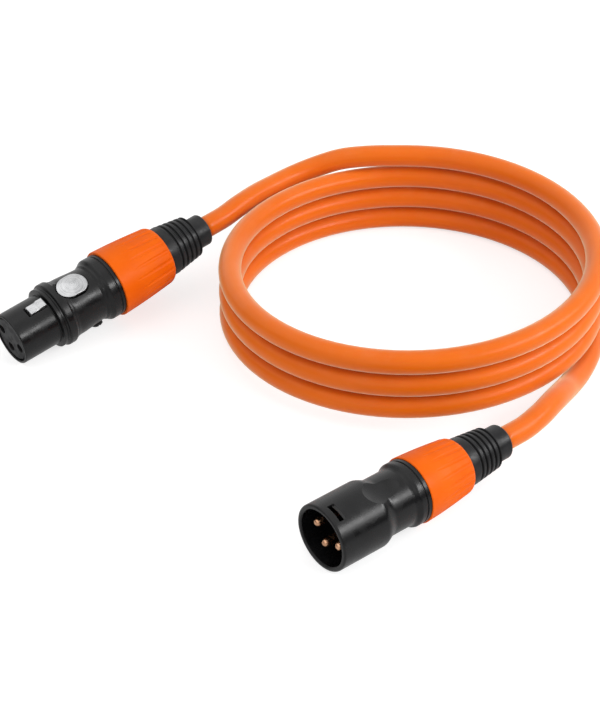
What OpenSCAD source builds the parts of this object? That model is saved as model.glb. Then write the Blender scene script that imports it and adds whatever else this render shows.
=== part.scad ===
// Coiled balanced audio cable with a three-pole male plug and a three-pole
// latching female plug. Both plugs lie parallel to X with their mating faces
// towards -X. The origin is on the floor, in the middle of the two plugs.
// Inside a plug, z runs from the mating face to the boot and x points to the
// latch side. All lengths are in millimetres.

/* [Cord] */
// Outer diameter of the cord
cord_d = 6.8; // [5:0.1:7]
// Radius of the coil, to the middle of the cord
coil_r = 54.2; // [50:0.1:60]
// Rise of the coil in one turn
coil_pitch = 7.5; // [7.5:0.1:9]
// Number of turns in the coil
coil_turns = 3.25; // [2.25:1:5.25]
// Share of each turn that lies level before the climb to the next
coil_level = 0.35; // [0:0.05:0.5]
// Middle of the coil, along X
coil_x = 67.45; // [60:0.05:80]
// Middle of the coil, along Y
coil_y = 4.75; // [-10:0.05:10]
// Direction of the coil's upper end, seen from above
coil_start_a = 50.7; // [30:0.1:70]
// Radius of one insulated wire core
core_r = 0.75; // [0.5:0.05:0.85]

/* [Lie] */
// Distance between the axes of the two plugs
plug_spacing = 126.6; // [110:0.1:150]
// Length along X that the two plugs cover
lie_length = 77.2; // [76:0.1:90]
// Rise of the female plug towards its boot
female_pitch = 8; // [0:0.5:10]
// Turn of the female plug's latch side towards -Y
female_roll = 16; // [0:1:40]
// Turn of the male plug's notch side towards -Y
male_roll = 16; // [0:1:40]

/* [Contacts] */
// Radius of a male contact pin
pin_r = 1.2; // [0.8:0.05:1.3]
// Half the distance between the two outer contacts
contact_y = 4.45; // [4:0.05:4.6]
// Height of the two outer contacts above the axis
contact_x = 0.25; // [0:0.1:1]
// Depth of the third contact below the axis
contact_low = 3.5; // [3:0.1:3.8]
// Wall of a female contact sleeve
sleeve_wall = 0.35; // [0.25:0.05:0.5]

/* [Male plug] */
// Length of the male plug from its face to the end of its boot
male_length = 63.5; // [62:0.5:68]
// Outer radius of the male shell
male_shell_r = 9.5; // [9:0.1:10]
// Length of the male shell's full cylinder
male_shell_length = 15; // [14:0.5:16]
// Radius of the cup that takes a female plug's nose
male_cup_r = 8.1; // [8:0.05:8.5]
// Depth of the cup
male_cup_depth = 14.4; // [12:0.1:14.5]
// Distance of the pins' tips behind the male face
pin_recess = 1.5; // [1:0.1:4]
// Radius of the male shell's waist
male_waist_r = 8.2; // [8:0.1:8.6]
// Place where the male waist ends and the rim rises
male_waist_end = 25.6; // [25:0.1:26.5]
// Radius of the male shell's rear rim
male_rim_r = 9.15; // [9:0.05:9.5]
// Place of the seam between the male shell and its collar
male_seam = 30.2; // [29.5:0.1:31]
// Width of the latch window in the male shell
notch_width = 5.4; // [4:0.1:6]
// Length of the latch window along the plug
notch_length = 2.1; // [1:0.1:2.5]
// Distance of the latch window behind the male face
notch_place = 1.95; // [1.5:0.05:3]
// Depth of the thumb dish in the male waist
dish_depth = 0.7; // [0.3:0.05:0.8]
// Length of the male collar
male_collar_length = 16.8; // [16.5:0.1:18]
// Front radius of the male collar
male_collar_front_r = 9.5; // [9.3:0.05:10]
// Radius of the male collar before its rounded end
male_collar_rear_r = 8.3; // [8.2:0.05:8.8]
// Radius of the male boot's smooth ring
male_boot_r = 7.0; // [6.6:0.05:7.1]
// Radius of the male boot's last rib
male_last_rib_r = 6.1; // [5.6:0.1:6.5]
// Place where the male boot's ribs begin
male_ribs_start = 49.7; // [49.3:0.1:50.5]

/* [Female plug] */
// Length of the female plug from its face to the end of its boot
female_length = 71.5; // [70.5:0.5:74]
// Outer radius of the female nose
nose_r = 8.0; // [7.9:0.05:8.05]
// Length of the female nose
nose_length = 12.8; // [12.5:0.1:13.4]
// Radius of the bore in the female shell
female_bore_r = 7.2; // [7:0.05:7.3]
// Radius of the stop ring behind the nose
ring_r = 10.0; // [9.6:0.1:10]
// Place where the stop ring ends
ring_end = 18; // [17.6:0.1:18.2]
// Radius of the female waist at its front
waist_front_r = 9.1; // [8.9:0.05:9.3]
// Radius of the female waist at its rear
waist_rear_r = 8.5; // [8.4:0.05:8.8]
// Place where the female waist ends and the rim rises
female_waist_end = 29.6; // [29:0.1:30.2]
// Radius of the female shell's rear rim
female_rim_r = 9.9; // [9.6:0.05:10.1]
// Place of the seam between the female shell and its collar
female_seam = 35.0; // [34.5:0.1:36]
// Length of the female collar
female_collar_length = 19.5; // [18.8:0.1:20.3]
// Front radius of the female collar
female_collar_front_r = 10.6; // [10.2:0.05:10.8]
// Radius of the female collar before its rounded end
female_collar_rear_r = 9.4; // [9.3:0.05:9.7]
// Radius of the female boot's smooth ring
female_boot_r = 7.9; // [7.5:0.05:8]
// Radius of the female boot's last rib
female_last_rib_r = 6.6; // [5.9:0.1:7]
// Place where the female boot's ribs begin
female_ribs_start = 57.2; // [56.4:0.1:58.5]

/* [Latch] */
// Place of the middle of the press button
button_place = 22.3; // [22.1:0.1:22.8]
// Width of the press button
button_width = 7.4; // [6:0.1:7.8]
// Length of the press button along the plug
button_length = 9.6; // [8.2:0.1:9.8]
// Height of the button's crown above the plug's axis
button_top = 9.6; // [9.2:0.05:9.8]
// Width of the latch lever and of its hook
lever_width = 3.0; // [2.2:0.1:3.2]
// Thickness of the latch lever
lever_thick = 1.1; // [0.8:0.05:1.3]
// Place of the front of the latch hook
hook_front = 6.4; // [6:0.1:7]
// Place of the rear of the latch hook
hook_rear = 12.2; // [11.8:0.1:12.3]
// Height of the latch hook above the plug's axis
hook_top = 8.9; // [8.6:0.05:9]
// Place of the latch pivot
pivot_place = 29.6; // [29:0.1:30.2]
// Radius of the latch pivot pin
pivot_r = 0.5; // [0.4:0.05:0.6]
// Angle that the latch turns when it is pressed
latch_angle = 4; // [2:0.5:4]

/* [Collars and boots] */
// Swell of a collar's outline above a straight taper
collar_crown = 0.16; // [0:0.02:0.3]
// Length of a collar's rounded rear end
collar_round = 2.2; // [1.5:0.1:2.6]
// Thickness of a collar's wall over the shell's spigot
collar_wall = 1.6; // [1.4:0.05:1.7]
// Number of flutes round a collar
flute_count = 20; // [12:1:24]
// Depth of a collar's flutes
flute_depth = 0.3; // [0.1:0.05:0.4]
// Radius of a collar's flutes
flute_r = 1; // [0.5:0.1:1.5]
// Share of a collar's length in front of its flutes
flute_lead = 0.28; // [0.2:0.01:0.4]
// Number of grooves in a boot
groove_count = 5; // [3:1:6]
// Depth of a boot's grooves
groove_depth = 0.55; // [0.2:0.05:0.6]
// Length of the smooth ring at a boot's end
boot_tip_length = 4.9; // [4:0.1:6]
// Radius of the smooth ring at a boot's end
boot_tip_r = 5.0; // [4.8:0.05:5.2]
// Thickness of the flange that holds a boot in its collar
flange_thick = 2; // [1.5:0.1:2.2]
// Distance that a collar unscrews
collar_travel = 4; // [2:0.5:4]
// Play between pieces that stay still
seat_gap = 0.08; // [0.05:0.01:0.1]
// Play between pieces that slide or turn on each other
slide_gap = 0.1; // [0.08:0.01:0.12]

/* [Hidden] */
$fn = 96;

shell_black = "#1b1b1e";
boot_black = "#26272a";
signal_orange = "#ff6a14";
cord_orange = "#ee6a28";
bright_metal = "silver";
contact_gold = "#c98a4a";
insert_grey = "#2c2d30";

cord_r = cord_d / 2;
far = 40;

// Where the two plugs lie
female_y = (plug_spacing + male_shell_r - female_collar_front_r) / 2;
male_y = female_y - plug_spacing;
male_face = [lie_length / 2 - male_length, male_y, max(male_shell_r, male_collar_front_r)];
ring_front = nose_length + 2.6;
female_rest = max(
    nose_r * cos(female_pitch),
    ring_r * cos(female_pitch) - ring_front * sin(female_pitch)
);
female_face = [nose_r * sin(female_pitch) - lie_length / 2, female_y, female_rest];
female_dir = [cos(female_pitch), 0, sin(female_pitch)];
male_dir = [1, 0, 0];
female_exit = female_face + female_length * female_dir;
male_exit = male_face + male_length * male_dir;

// Contact places, seen from the mating face: two outer ones and the low one
contacts = [[contact_x, contact_y], [contact_x, -contact_y], [-contact_low, 0]];
sleeve_bore = pin_r + 0.05;
sleeve_r = sleeve_bore + sleeve_wall;
contact_entry = 0.9;
contact_tail = 3;
cup_bore = core_r + 0.12;

// Collars, spigots and boots, worked out from the collars' outer radii
male_collar_bore = male_collar_front_r - collar_wall;
female_collar_bore = female_collar_front_r - collar_wall;
male_spigot_r = male_collar_bore - slide_gap;
female_spigot_r = female_collar_bore - slide_gap;
spigot_length = 8.5;
male_bore_r = male_spigot_r - 0.85;
flange_place = spigot_length + 1;
lip_place = flange_place + flange_thick + seat_gap;
boot_bore_r = cord_r + 0.15;
boot_wall = 0.6;
boot_cone = 9;
chuck_nose_wall = 1.2;

// Inserts
insert_front = 0.3;
insert_bevel = 0.6;
female_insert_r = female_bore_r - seat_gap;
female_insert_end = pivot_place + 2.2;
male_insert_r = male_bore_r - seat_gap;
male_insert_length = 8;
male_insert_end = male_cup_depth + male_insert_length;
pin_root_r = pin_r + 0.3;
solder_cup_depth = 2.5;
cup_lip = 1;
cup_lip_r = male_bore_r - 0.7;

// Latch lever, under the nose's wall
lever_top = sqrt(pow(female_bore_r, 2) - pow(lever_width / 2, 2)) - 0.25;
lever_low = lever_top - lever_thick;
pivot_eye_r = pivot_r + 0.6;
pivot_height = lever_top - pivot_eye_r;
pivot_pin_length = 6;
lever_play = 0.2;
hook_ramp = 3.2;
hook_drop = (pivot_place - hook_front) * sin(latch_angle);
channel_floor = min(lever_low - hook_drop, pivot_height - pivot_eye_r) - 0.3;
channel_front = hook_front - 0.7;
button_play = 0.3;
button_low = lever_low + 0.3;
button_drop = (pivot_place - button_place + button_length / 2) * sin(latch_angle);
pocket_floor = button_low - button_drop - 0.25;
button_dome_r = 13;
spring_place = 14.5;
spring_r = 1;
spring_wire_r = 0.15;
spring_turns = 3;

// Inside stretches of the cords
female_jacket = female_seam + 5;
male_jacket = male_seam + 3;
jacket_bite = 1.2;
female_chuck_front = female_jacket - jacket_bite;
male_chuck_front = male_jacket - jacket_bite;
chuck_slots = 4;
chuck_slot_width = 0.8;

// The female plug's lead climbs from the boot to the top of the coil
female_lead_route = [
    [48, 63.4, 20.3],
    [56, 64.9, 20.6],
    [64, 65.9, 20.5],
    [72, 66, 20.9],
    [79.5, 64, 22.3],
    [86, 60, 24.4],
    [92.5, 54.5, 25.6],
];
// The male plug's lead comes down from the boot to the foot of the coil
male_lead_route = [
    [54.5, -62.6, 9.7],
    [62, -60.1, 9.2],
    [69.5, -56.8, 7.2],
    [76, -53.5, 4.8],
    [83, -50.4, 3.7],
    [90, -46.9, 3.6],
    [97, -42.3, 3.6],
];
lead_sides = 12;

// Coil: rings of six sides, flat below, and a straight stub at either end
rings_per_turn = 24;
coil_steps = round(coil_turns * rings_per_turn);
coil_ring_r = cord_r / cos(30);
function smooth(s) = s * s * (3 - 2 * s);
function climb(u) = smooth(max(0, (u - coil_level) / (1 - coil_level)));
function coil_z(t) = cord_r + coil_pitch * (floor(t) + climb(t - floor(t)));
function coil_a(i) = coil_start_a - 360 * i / rings_per_turn;
function coil_t(i) = (coil_steps - i) / rings_per_turn;
function coil_point(i) = [
    coil_x + coil_r * cos(coil_a(i)),
    coil_y + coil_r * sin(coil_a(i)),
    coil_z(coil_t(i))
];
function coil_dir(i) = [sin(coil_a(i)), -cos(coil_a(i)), 0];
coil_top = coil_point(0) - cord_d * coil_dir(0);
coil_foot = coil_point(coil_steps) + cord_d * coil_dir(coil_steps);
coil_path = concat(
    [coil_top],
    [for (i = [0 : coil_steps]) coil_point(i)],
    [coil_foot]
);
coil_dirs = concat(
    [coil_dir(0)],
    [for (i = [0 : coil_steps]) coil_dir(i)],
    [coil_dir(coil_steps)]
);

// Tube swept along points: each ring lies square to its own direction
function unit(v) = v / norm(v);
function ring_side(d) = unit(cross(d, [0, 0, 1]));
function ring_up(d) = cross(ring_side(d), d);
function ring_point(p, d, r, a) = p + r * (cos(a) * ring_side(d) + sin(a) * ring_up(d));
function tube_points(path, dirs, r, n) = [
    for (i = [0 : len(path) - 1], k = [0 : n - 1])
        ring_point(path[i], dirs[i], r, 360 * k / n)
];
function tube_faces(m, n) = concat(
    [for (k = [1 : n - 2]) [0, k, k + 1]],
    [for (i = [0 : m - 2], k = [0 : n - 1]) [i * n + k, (i + 1) * n + k, (i + 1) * n + (k + 1) % n]],
    [for (i = [0 : m - 2], k = [0 : n - 1]) [i * n + k, (i + 1) * n + (k + 1) % n, i * n + (k + 1) % n]],
    [for (k = [1 : n - 2]) [(m - 1) * n, (m - 1) * n + k + 1, (m - 1) * n + k]]
);
function path_dir(path, i) = unit(path[i + 1] - path[i - 1]);
function path_dirs(path, first, last) = concat(
    [first, first],
    [for (i = [2 : len(path) - 2]) path_dir(path, i)],
    [last]
);
module tube(path, dirs, r, n) {
    polyhedron(points = tube_points(path, dirs, r, n), faces = tube_faces(len(path), n), convexity = 10);
}

// Least gap of the coil to itself, measured on its surface points
coil_skin = tube_points(coil_path, coil_dirs, coil_ring_r, 6);
coil_gaps = [
    for (i = [0 : len(coil_path) - 1], j = [i + rings_per_turn - 2 : i + rings_per_turn + 2])
        if (j < len(coil_path))
            min([for (k = [0 : 5], q = [0 : 5]) norm(coil_skin[i * 6 + k] - coil_skin[j * 6 + q])])
];
coil_least_gap = min(coil_gaps);
echo(coil_least_gap_mm = coil_least_gap);
function path_length(path) = len(path) < 2 ? 0 : sum_steps(path, 1);
function sum_steps(path, i) = norm(path[i] - path[i - 1]) + (i + 1 < len(path) ? sum_steps(path, i + 1) : 0);
female_lead_path = concat(
    [female_exit, female_exit + cord_d * female_dir],
    female_lead_route,
    [coil_top]
);
male_lead_path = concat(
    [male_exit, male_exit + cord_d * male_dir],
    male_lead_route,
    [coil_foot]
);
echo(cord_length_mm = path_length(female_lead_path) + path_length(coil_path) + path_length(male_lead_path));

// Outline helpers: points are [radius, distance from the face]
function arc(cr, cz, r, a0, a1, n) = [
    for (i = [0 : n]) [cr + r * cos(a0 + (a1 - a0) * i / n), cz + r * sin(a0 + (a1 - a0) * i / n)]
];
function blend(r0, z0, r1, z1, n) = [
    for (i = [0 : n]) [r0 + (r1 - r0) * smooth(i / n), z0 + (z1 - z0) * i / n]
];

// Lays a plug in place: z to the boot, x to the latch side
module lay(face, pitch, roll) {
    translate(face)
        rotate([0, -pitch, 0])
            rotate([roll, 0, 0])
                rotate([0, 90, 0])
                    rotate([0, 0, 180])
                        children();
}
module lay_female() {
    lay(female_face, female_pitch, female_roll) children();
}
module lay_male() {
    lay(male_face, 0, male_roll) children();
}
module disc(r, z0, z1) {
    translate([0, 0, z0]) cylinder(r = r, h = z1 - z0);
}
module at_contacts() {
    for (c = contacts)
        translate([c.x, c.y, 0]) children();
}

// Rounded lip round a shell's rear rim, then the spigot that carries the collar
function rim_outline(rim_r, z0, seam, spigot_r) = concat(
    blend(rim_r - 0.9, z0, rim_r, z0 + 1.6, 6),
    [
        [rim_r, seam - 1.7],
        [rim_r - 0.3, seam - 1.6],
        [rim_r - 0.3, seam - 1.2],
        [rim_r, seam - 1.1],
        [rim_r, seam],
        [spigot_r, seam],
        [spigot_r, seam + spigot_length - 0.4],
        [spigot_r - 0.4, seam + spigot_length],
    ]
);

// Three wire cores that run from the contacts' cups into the cord's jacket
wire_sides = 8;
module wires(cup_end, jacket) {
    color("white")
        for (c = contacts) {
            inward = core_r * 1.6 * unit([c.x, c.y, 0]);
            path = [
                [c.x, c.y, cup_end - 1.5],
                [c.x, c.y, cup_end + 0.4],
                inward + [0, 0, jacket - jacket_bite - 0.2],
                inward + [0, 0, jacket],
            ];
            run = unit(path[2] - path[1]);
            bend = unit(run + [0, 0, 1]);
            wire_tube(path, [[0, 0, 1], bend, bend, [0, 0, 1]]);
        }
}
function wire_side(d) = unit(cross(d, [1, 0.3, 0]));
function wire_ring(p, d) = [
    for (k = [0 : wire_sides - 1])
        p + core_r * (cos(360 * k / wire_sides) * wire_side(d) + sin(360 * k / wire_sides) * cross(wire_side(d), d))
];
module wire_tube(path, dirs) {
    polyhedron(
        points = [for (i = [0 : len(path) - 1]) each wire_ring(path[i], dirs[i])],
        faces = tube_faces(len(path), wire_sides)
    );
}

// Collet that grips the cord inside the spigot
module chuck(front, seam, bore_r, cone_r) {
    body_r = bore_r - seat_gap;
    body_end = seam + flange_place - 0.5;
    tip = body_end + boot_cone - 1.5;
    tip_r = cord_r + chuck_nose_wall;
    color(insert_grey)
        difference() {
            union() {
                disc(body_r, front, seam + spigot_length);
                disc(min(body_r, cone_r), front, body_end);
                translate([0, 0, body_end])
                    cylinder(r1 = min(body_r, cone_r), r2 = tip_r, h = tip - body_end);
            }
            disc(cord_r + seat_gap / 2, front - 1, far * 2);
            for (i = [0 : chuck_slots - 1])
                rotate([0, 0, 45 + 360 * i / chuck_slots])
                    translate([cord_r - 0.5, -chuck_slot_width / 2, seam + spigot_length])
                        cube([far, chuck_slot_width, far]);
        }
}

// Collar: a nut with a rounded rear end, a lip that draws the boot, and flutes
// that fade in behind a smooth band and run out over the rounded end
function collar_r(front_r, rear_r, s) = front_r + (rear_r - front_r) * s + 4 * collar_crown * s * (1 - s);
function collar_outline(front_r, rear_r, end_r, length) = concat(
    [[front_r - 0.15, 0], [front_r, 0.25]],
    [for (i = [1 : 8]) [collar_r(front_r, rear_r, i / 8), (length - collar_round) * i / 8]],
    [for (i = [1 : 6]) [
        end_r + (rear_r - end_r) * cos(15 * i),
        length - collar_round + collar_round * sin(15 * i)
    ]]
);
module collar(seam, length, front_r, rear_r, bore_r, boot_r) {
    lip_r = boot_r + slide_gap;
    flute_end = length - collar_round;
    flute_start = flute_lead * flute_end;
    start_r = collar_r(front_r, rear_r, flute_lead);
    tilt = atan((start_r - rear_r + flute_depth) / (flute_end - flute_start));
    color(signal_orange)
        difference() {
            translate([0, 0, seam])
                rotate_extrude()
                    polygon(concat(
                        [[bore_r, lip_place], [bore_r, 0]],
                        collar_outline(front_r, rear_r, lip_r + 0.25, length),
                        [[lip_r, length], [lip_r, lip_place]]
                    ));
            for (i = [0 : flute_count - 1])
                rotate([0, 0, 360 * i / flute_count])
                    translate([start_r, 0, seam + flute_start])
                        rotate([0, -tilt, 0])
                            translate([flute_r, 0, -1])
                                cylinder(r = flute_r, h = length, $fn = 32);
        }
}

// Boot: a flange inside the collar, a smooth ring, ribs and a smooth tip.
// A groove's shape is [share of the pitch, share of the depth]
groove_shape = [[0.14, 0], [0.23, 0.3], [0.32, 1], [0.58, 1], [0.68, 0.3], [0.78, 0]];
function rib_r(s, ring_r, last_r) = ring_r + (last_r - ring_r) * s;
function boot_ribs(z0, z1, ring_r, last_r) = [
    for (i = [0 : groove_count - 1], q = groove_shape)
        let (s = (i + q[0]) / groove_count)
        [rib_r(s, ring_r, last_r) - q[1] * groove_depth, z0 + (z1 - z0) * s]
];
module boot(seam, length, ring_r, last_r, ribs_start, bore_r) {
    flange_z = seam + flange_place;
    tip_z = length - boot_tip_length;
    cone_r = ring_r - boot_wall;
    color(boot_black)
        rotate_extrude()
            polygon(concat(
                [[cone_r, flange_z], [bore_r - slide_gap, flange_z], [bore_r - slide_gap, flange_z + flange_thick]],
                [[ring_r, flange_z + flange_thick], [ring_r, ribs_start]],
                boot_ribs(ribs_start, tip_z, ring_r, last_r),
                [[boot_tip_r, tip_z]],
                arc(boot_tip_r - 0.6, length - 0.6, 0.6, 0, 90, 5),
                [[boot_bore_r, length], [boot_bore_r, flange_z + boot_cone]],
                [[cord_r + chuck_nose_wall + 0.4, flange_z + boot_cone]]
            ));
}

// Female plug
module nose_outline_shape() {
    polygon(concat(
        [[female_bore_r, 0.2], [female_bore_r + 0.2, 0]],
        arc(nose_r - 0.4, 0.4, 0.4, -90, 0, 4),
        [[nose_r, nose_length]],
        [[ring_r - 0.6, nose_length + 0.3], [ring_r - 0.6, nose_length + 1.2]],
        [[ring_r - 0.8, nose_length + 1.5], [ring_r - 0.8, nose_length + 1.9]],
        arc(ring_r - 0.5, ring_front, 0.5, -90, 0, 4),
        arc(ring_r - 0.6, ring_end - 1, 0.6, 0, 60, 4),
        blend(waist_front_r + 0.35, ring_end - 0.1, waist_front_r, ring_end + 1.3, 4),
        blend(waist_front_r - 0.02, ring_end + 1.6, waist_rear_r, female_waist_end - 0.8, 6),
        blend(waist_rear_r, female_waist_end - 0.7, female_rim_r - 0.9, female_waist_end, 2),
        rim_outline(female_rim_r, female_waist_end + 0.1, female_seam, female_spigot_r),
        [[female_bore_r, female_seam + spigot_length]]
    ));
}
module button_outline(grow) {
    end_r = button_width / 2 + grow;
    shift = (button_length - button_width) / 2;
    for (s = [-shift, shift])
        translate([s, 0]) circle(r = end_r);
    square([2 * shift, 2 * end_r], center = true);
}
// Upright prism on the button's outline, from one height to another
module button_prism(grow, low, high) {
    translate([low, 0, button_place])
        rotate([0, 90, 0])
            linear_extrude(height = high - low)
                button_outline(grow);
}
module female_shell() {
    lay_female()
        color(shell_black)
            difference() {
                rotate_extrude() nose_outline_shape();
                translate([female_bore_r - 2, -lever_width / 2 - lever_play, hook_front - 0.4])
                    cube([far, lever_width + 2 * lever_play, hook_rear - hook_front + 0.55]);
                button_prism(button_play, 4, far);
                button_prism(1, waist_rear_r + 0.1, far);
                rotate([0, 0, screw_turn])
                    translate([female_insert_r, 0, screw_place])
                        rotate([0, 90, 0])
                            cylinder(r = screw_head_r + seat_gap, h = far, $fn = 48);
            }
}
screw_place = 27;
screw_turn = 142;
screw_head_r = 1.8;
screw_shank_r = 0.9;
module female_insert() {
    lay_female()
        color(insert_grey)
            difference() {
                union() {
                    disc(female_insert_r, insert_front + insert_bevel, female_insert_end);
                    translate([0, 0, insert_front])
                        cylinder(r1 = female_insert_r - insert_bevel, r2 = female_insert_r, h = insert_bevel);
                }
                at_contacts() {
                    disc(sleeve_bore + 0.2, 0, far);
                    disc(sleeve_r + seat_gap, insert_front + contact_entry, far);
                }
                translate([channel_floor, -lever_width / 2 - lever_play, channel_front])
                    cube([far, lever_width + 2 * lever_play, far]);
                button_prism(button_play + 0.3, pocket_floor, far);
                translate([pivot_height, far / 2, pivot_place])
                    rotate([90, 0, 0])
                        cylinder(r = pivot_r + seat_gap / 2, h = far, $fn = 32);
                rotate([0, 0, screw_turn])
                    translate([0, 0, screw_place])
                        rotate([0, 90, 0])
                            cylinder(r = screw_shank_r + seat_gap, h = far, $fn = 48);
            }
}
module female_contacts() {
    front = insert_front + contact_entry + seat_gap;
    lay_female()
        color(contact_gold)
            at_contacts()
                difference() {
                    disc(sleeve_r, front, female_insert_end + contact_tail);
                    disc(sleeve_bore, front - 1, front + 14);
                    disc(cup_bore, female_insert_end, far * 2);
                }
}
module female_latch() {
    lay_female()
        color(bright_metal)
            difference() {
                union() {
                    translate([lever_low, -lever_width / 2, hook_front])
                        cube([lever_thick, lever_width, pivot_place - hook_front]);
                    translate([0, lever_width / 2, 0])
                        rotate([90, 0, 0])
                            linear_extrude(height = lever_width)
                                polygon([
                                    [lever_low, hook_front],
                                    [lever_top + 0.5, hook_front],
                                    [nose_r + 0.35, hook_front + 0.5],
                                    [nose_r + 0.45, hook_front + hook_ramp],
                                    [hook_top, hook_front + hook_ramp + 0.7],
                                    [hook_top, hook_rear],
                                    [lever_low, hook_rear],
                                ]);
                    intersection() {
                        button_prism(0, button_low, far);
                        translate([button_top - button_dome_r, 0, button_place]) sphere(r = button_dome_r);
                    }
                    translate([pivot_height, lever_width / 2, pivot_place])
                        rotate([90, 0, 0])
                            cylinder(r = pivot_eye_r, h = lever_width, $fn = 48);
                }
                translate([pivot_height, far / 2, pivot_place])
                    rotate([90, 0, 0])
                        cylinder(r = pivot_r + 0.05, h = far, $fn = 32);
            }
}
module female_latch_pin() {
    lay_female()
        color(bright_metal)
            translate([pivot_height, pivot_pin_length / 2, pivot_place])
                rotate([90, 0, 0])
                    cylinder(r = pivot_r, h = pivot_pin_length, $fn = 32);
}
spring_length = lever_low - channel_floor - 2 * spring_wire_r - 0.1;
spring_steps = spring_turns * 12;
function spring_point(i) = [
    spring_r * cos(30 * i),
    spring_r * sin(30 * i),
    spring_length * i / spring_steps
];
function spring_dir(i) = unit([-sin(30 * i), cos(30 * i), spring_length / (spring_turns * 2 * PI * spring_r)]);
module female_latch_spring() {
    lay_female()
        color(bright_metal)
            translate([channel_floor + spring_wire_r + 0.05, 0, spring_place])
                rotate([0, 90, 0])
                    tube(
                        [for (i = [0 : spring_steps]) spring_point(i)],
                        [for (i = [0 : spring_steps]) spring_dir(i)],
                        spring_wire_r,
                        6
                    );
}
module ground_tag(end, place) {
    color(bright_metal)
        translate([place, -1.2, end])
            difference() {
                cube([0.4, 2.4, 2.6]);
                translate([-1, 1.2, 1.7])
                    rotate([0, 90, 0])
                        cylinder(r = 0.5, h = 3, $fn = 24);
            }
}
module female_ground_tag() {
    lay_female() ground_tag(female_insert_end, -female_insert_r + 0.6);
}
module female_screw() {
    seat = female_insert_r + 0.02;
    head_end = waist_rear_r - seat + 0.9;
    lay_female()
        color(shell_black)
            rotate([0, 0, screw_turn])
                translate([seat, 0, screw_place])
                    rotate([0, 90, 0])
                        difference() {
                            union() {
                                translate([0, 0, -2]) cylinder(r = screw_shank_r, h = 2.5, $fn = 48);
                                cylinder(r = screw_head_r, h = head_end, $fn = 48);
                                translate([0, 0, head_end])
                                    cylinder(r1 = screw_head_r, r2 = screw_head_r - 0.5, h = 0.4, $fn = 48);
                            }
                            translate([-0.25, -far / 2, head_end]) cube([0.5, far, 2]);
                        }
}
module female_wires() {
    lay_female() wires(female_insert_end + contact_tail, female_jacket);
}
module female_chuck() {
    lay_female() chuck(female_chuck_front, female_seam, female_bore_r, female_boot_r - boot_wall - 0.3);
}
module female_collar() {
    lay_female()
        collar(
            female_seam,
            female_collar_length,
            female_collar_front_r,
            female_collar_rear_r,
            female_collar_bore,
            female_boot_r
        );
}
module female_boot() {
    lay_female()
        boot(
            female_seam,
            female_length,
            female_boot_r,
            female_last_rib_r,
            female_ribs_start,
            female_collar_bore
        );
}
module female_cord_tail() {
    lay_female() color(cord_orange) disc(cord_r, female_jacket, female_length);
}

// Male plug
module male_shell() {
    lay_male()
        color(shell_black)
            difference() {
                rotate_extrude()
                    polygon(concat(
                        [[cup_lip_r, male_cup_depth], [male_cup_r, male_cup_depth], [male_cup_r, 0.3]],
                        [[male_cup_r + 0.3, 0]],
                        arc(male_shell_r - 0.6, 0.6, 0.6, -90, 0, 5),
                        [[male_shell_r, male_shell_length - 0.5]],
                        blend(male_shell_r, male_shell_length, male_waist_r, male_shell_length + 4, 8),
                        [[male_waist_r, male_waist_end - 0.1]],
                        rim_outline(male_rim_r, male_waist_end, male_seam, male_spigot_r),
                        [[male_bore_r, male_seam + spigot_length], [male_bore_r, male_cup_depth + cup_lip]],
                        [[cup_lip_r, male_cup_depth + cup_lip]]
                    ));
                translate([male_cup_r - 2, -notch_width / 2, notch_place])
                    cube([far, notch_width, notch_length]);
                translate([male_waist_r + dish_sphere_r - dish_depth, 0, dish_place])
                    sphere(r = dish_sphere_r);
            }
}
dish_sphere_r = 14;
dish_place = 19.6;
module male_insert() {
    lay_male()
        color(insert_grey)
            difference() {
                union() {
                    disc(cup_lip_r - seat_gap, male_cup_depth, male_insert_end);
                    disc(male_insert_r, male_cup_depth + cup_lip + 0.02, male_insert_end);
                }
                at_contacts() disc(pin_root_r + seat_gap, 0, far);
            }
}
module male_pins() {
    tail_end = male_insert_end + contact_tail;
    lay_male()
        color(contact_gold)
            at_contacts() {
                translate([0, 0, pin_recess + pin_r]) sphere(r = pin_r, $fn = 48);
                disc(pin_r, pin_recess + pin_r, male_cup_depth + 0.5);
                difference() {
                    disc(pin_root_r, male_cup_depth, tail_end);
                    disc(cup_bore, tail_end - solder_cup_depth, far * 2);
                }
            }
}
module male_ground_tag() {
    lay_male() ground_tag(male_insert_end, -male_insert_r + 0.4);
}
module male_wires() {
    lay_male() wires(male_insert_end + contact_tail, male_jacket);
}
module male_chuck() {
    lay_male() chuck(male_chuck_front, male_seam, male_bore_r, male_boot_r - boot_wall - 0.3);
}
module male_collar() {
    lay_male()
        collar(
            male_seam,
            male_collar_length,
            male_collar_front_r,
            male_collar_rear_r,
            male_collar_bore,
            male_boot_r
        );
}
module male_boot() {
    lay_male()
        boot(
            male_seam,
            male_length,
            male_boot_r,
            male_last_rib_r,
            male_ribs_start,
            male_collar_bore
        );
}
module male_cord_tail() {
    lay_male() color(cord_orange) disc(cord_r, male_jacket, male_length);
}

// Cord
module cord_coil() {
    color(cord_orange) tube(coil_path, coil_dirs, coil_ring_r, 6);
}
module cord_lead_female() {
    color(cord_orange)
        tube(female_lead_path, path_dirs(female_lead_path, female_dir, coil_dir(0)), cord_r, lead_sides);
}
module cord_lead_male() {
    color(cord_orange)
        tube(
            male_lead_path,
            path_dirs(male_lead_path, male_dir, -coil_dir(coil_steps)),
            cord_r,
            lead_sides
        );
}

female_shell();
female_insert();
female_contacts();
female_latch();
female_latch_pin();
female_latch_spring();
female_ground_tag();
female_screw();
female_wires();
female_chuck();
female_collar();
female_boot();
female_cord_tail();
male_shell();
male_insert();
male_pins();
male_ground_tag();
male_wires();
male_chuck();
male_collar();
male_boot();
male_cord_tail();
cord_coil();
cord_lead_female();
cord_lead_male();
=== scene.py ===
"""Dresses the coiled audio cable: its cord, its finishes, its floor and its light."""

import math

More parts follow.
